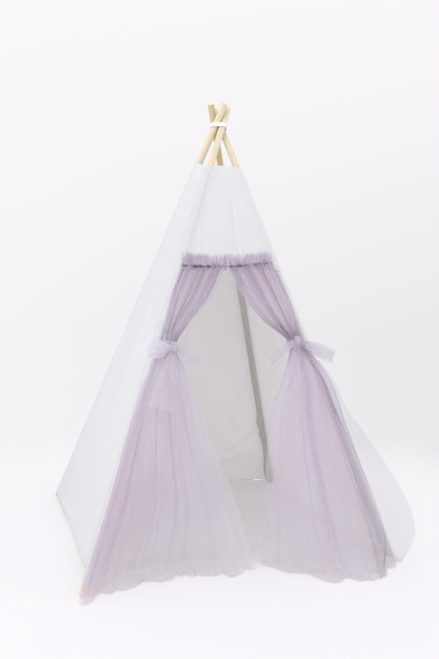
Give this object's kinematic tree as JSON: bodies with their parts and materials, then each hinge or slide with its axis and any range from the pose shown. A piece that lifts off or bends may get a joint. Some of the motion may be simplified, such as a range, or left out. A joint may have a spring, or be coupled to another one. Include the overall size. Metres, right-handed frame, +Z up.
{
  "type": "play tent",
  "caption": "Four-pole play tent: lashed wooden poles, canvas cover with pole sleeves, gathered header and tied-back tulle curtains with bows.",
  "frame": {"origin": "on the floor, at the middle of the footprint's box, the curtains' overhang included", "axes": "+Z up along the tent's height, front with the doorway facing -Y, +X to the right seen from the front"},
  "size_m": [1.1754, 1.0966, 1.6489],
  "materials": {
    "pole_wood": "bare sanded pale pine",
    "canvas": "plain white cotton canvas",
    "tulle": "sheer lilac tulle in layers",
    "cord": "white cotton cord",
    "elastic": "covered round elastic"
  },
  "bodies": {
    "rear_right_frame": {"rear_right_pole": "pole_wood", "rear_right_sleeve": "canvas", "lashing_cord": "cord", "right_panel": "canvas", "rear_panel": "canvas"},
    "rear_left_frame": {"rear_left_pole": "pole_wood", "rear_left_sleeve": "canvas", "left_panel": "canvas"},
    "front_left_frame": {"front_left_pole": "pole_wood", "front_left_sleeve": "canvas", "front_panel": "canvas", "curtain_drawcord": "elastic", "left_curtain_header": "tulle", "left_curtain": "tulle", "left_tie_band": "tulle", "left_bow_knot": "tulle", "left_bow_loop_outer": "tulle", "left_bow_loop_upper": "tulle", "left_bow_tail_side": "tulle", "left_bow_tail_hanging": "tulle"},
    "front_right_frame": {"front_right_pole": "pole_wood", "front_right_sleeve": "canvas", "right_curtain_header": "tulle", "right_curtain": "tulle", "right_curtain_overlay": "tulle", "right_tie_band": "tulle", "right_bow_knot": "tulle", "right_bow_loop_outer": "tulle", "right_bow_loop_lower": "tulle", "right_bow_tail_side": "tulle", "right_bow_tail_hanging": "tulle"}
  },
  "joints": [
    {"name": "side_fold", "type": "hinge", "parent": "rear_right_frame", "child": "rear_left_frame", "pos_m": [-0.05126, 0.06564, 1.575], "axis": [-0.0275, -0.9578, -0.2861], "range_deg": [0, 29], "deforming": ["rear_panel", "front_panel", "curtain_drawcord", "left_curtain_header", "right_curtain_header", "left_curtain", "right_curtain", "right_curtain_overlay", "left_tie_band", "left_bow_knot", "left_bow_loop_outer", "left_bow_loop_upper", "left_bow_tail_side", "left_bow_tail_hanging", "right_tie_band", "right_bow_knot", "right_bow_loop_outer", "right_bow_loop_lower", "right_bow_tail_side", "right_bow_tail_hanging"]},
    {"name": "front_fold", "type": "hinge", "parent": "rear_right_frame", "child": "front_right_frame", "pos_m": [-0.05126, 0.06564, 1.575], "axis": [0.9492, -0.0272, 0.3136], "range_deg": [0, 25], "deforming": ["right_panel", "left_panel", "lashing_cord"]},
    {"name": "front_fold_left", "type": "hinge", "parent": "rear_left_frame", "child": "front_left_frame", "pos_m": [-0.05126, 0.06564, 1.575], "axis": [0.9492, -0.0272, -0.3136], "range_deg": [0, 25]}
  ],
  "couplings": [
    {"joint": "front_fold_left", "follows": "front_fold", "ratio": 1}
  ]
}
